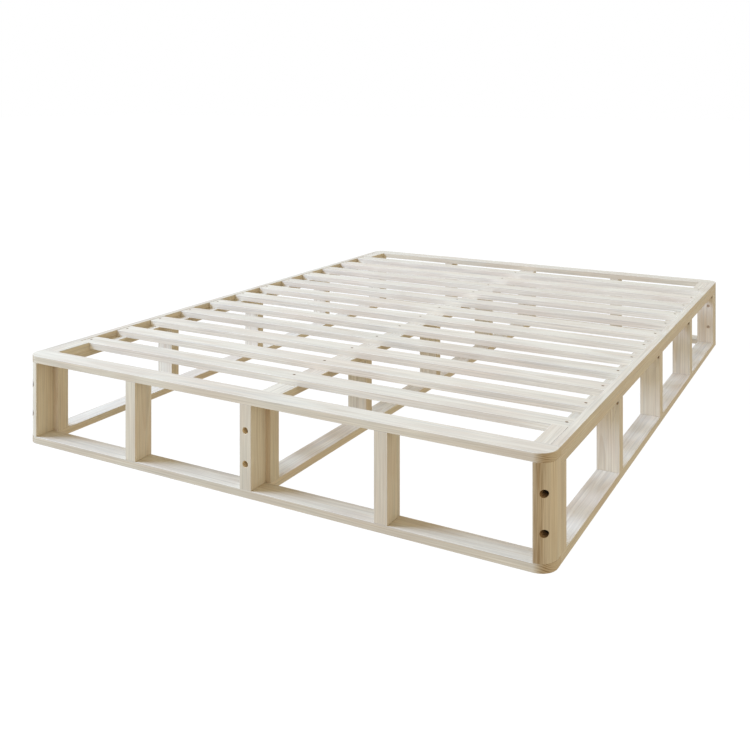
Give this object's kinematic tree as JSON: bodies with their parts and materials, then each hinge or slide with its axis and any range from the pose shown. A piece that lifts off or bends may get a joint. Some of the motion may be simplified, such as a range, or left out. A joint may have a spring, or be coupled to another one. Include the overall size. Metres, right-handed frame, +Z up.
{
  "type": "bed frame",
  "caption": "Low knock-down wooden bed foundation with stud-framed sides, rounded corners, a centre support frame and a slatted deck.",
  "frame": {"origin": "on the floor, under the middle of the bed", "axes": "+X to the right seen from the foot of the bed, +Y from foot to head, +Z up"},
  "size_m": [1.511, 2.019, 0.241],
  "materials": {
    "frame_pine": "planed pale pine, unfinished, thin whitewash, eased edges",
    "slat_pine": "planed pale pine, unfinished, thin whitewash, eased edges",
    "zinc_steel": "zinc-plated steel of the bolts, inserts and screws"
  },
  "bodies": {
    "root": {"centre_bottom_rail": "frame_pine", "centre_foot_end_post": "frame_pine", "centre_foot_stud": "frame_pine", "centre_head_end_post": "frame_pine", "centre_head_stud": "frame_pine", "centre_middle_stud": "frame_pine", "centre_top_rail": "frame_pine", "foot_bottom_rail": "frame_pine", "foot_centre_stud": "frame_pine", "foot_left_corner_post": "frame_pine", "foot_left_stud": "frame_pine", "foot_right_corner_post": "frame_pine", "foot_right_stud": "frame_pine", "foot_top_rail": "frame_pine", "head_bottom_rail": "frame_pine", "head_centre_stud": "frame_pine", "head_left_corner_post": "frame_pine", "head_left_stud": "frame_pine", "head_right_corner_post": "frame_pine", "head_right_stud": "frame_pine", "head_top_rail": "frame_pine", "left_bottom_rail": "frame_pine", "left_foot_end_post": "frame_pine", "left_foot_filler": "frame_pine", "left_foot_stud": "frame_pine", "left_head_end_post": "frame_pine", "left_head_filler": "frame_pine", "left_head_stud": "frame_pine", "left_ledge_rail": "frame_pine", "left_middle_stud": "frame_pine", "left_outer_strip": "frame_pine", "right_bottom_rail": "frame_pine", "right_foot_end_post": "frame_pine", "right_foot_filler": "frame_pine", "right_foot_stud": "frame_pine", "right_head_end_post": "frame_pine", "right_head_filler": "frame_pine", "right_head_stud": "frame_pine", "right_ledge_rail": "frame_pine", "right_middle_stud": "frame_pine", "right_outer_strip": "frame_pine", "slat_01": "slat_pine", "slat_02": "slat_pine", "slat_03": "slat_pine", "slat_04": "slat_pine", "slat_05": "slat_pine", "slat_06": "slat_pine", "slat_07": "slat_pine", "slat_08": "slat_pine", "slat_09": "slat_pine", "slat_10": "slat_pine", "slat_11": "slat_pine", "slat_12": "slat_pine"}
  },
  "joints": []
}
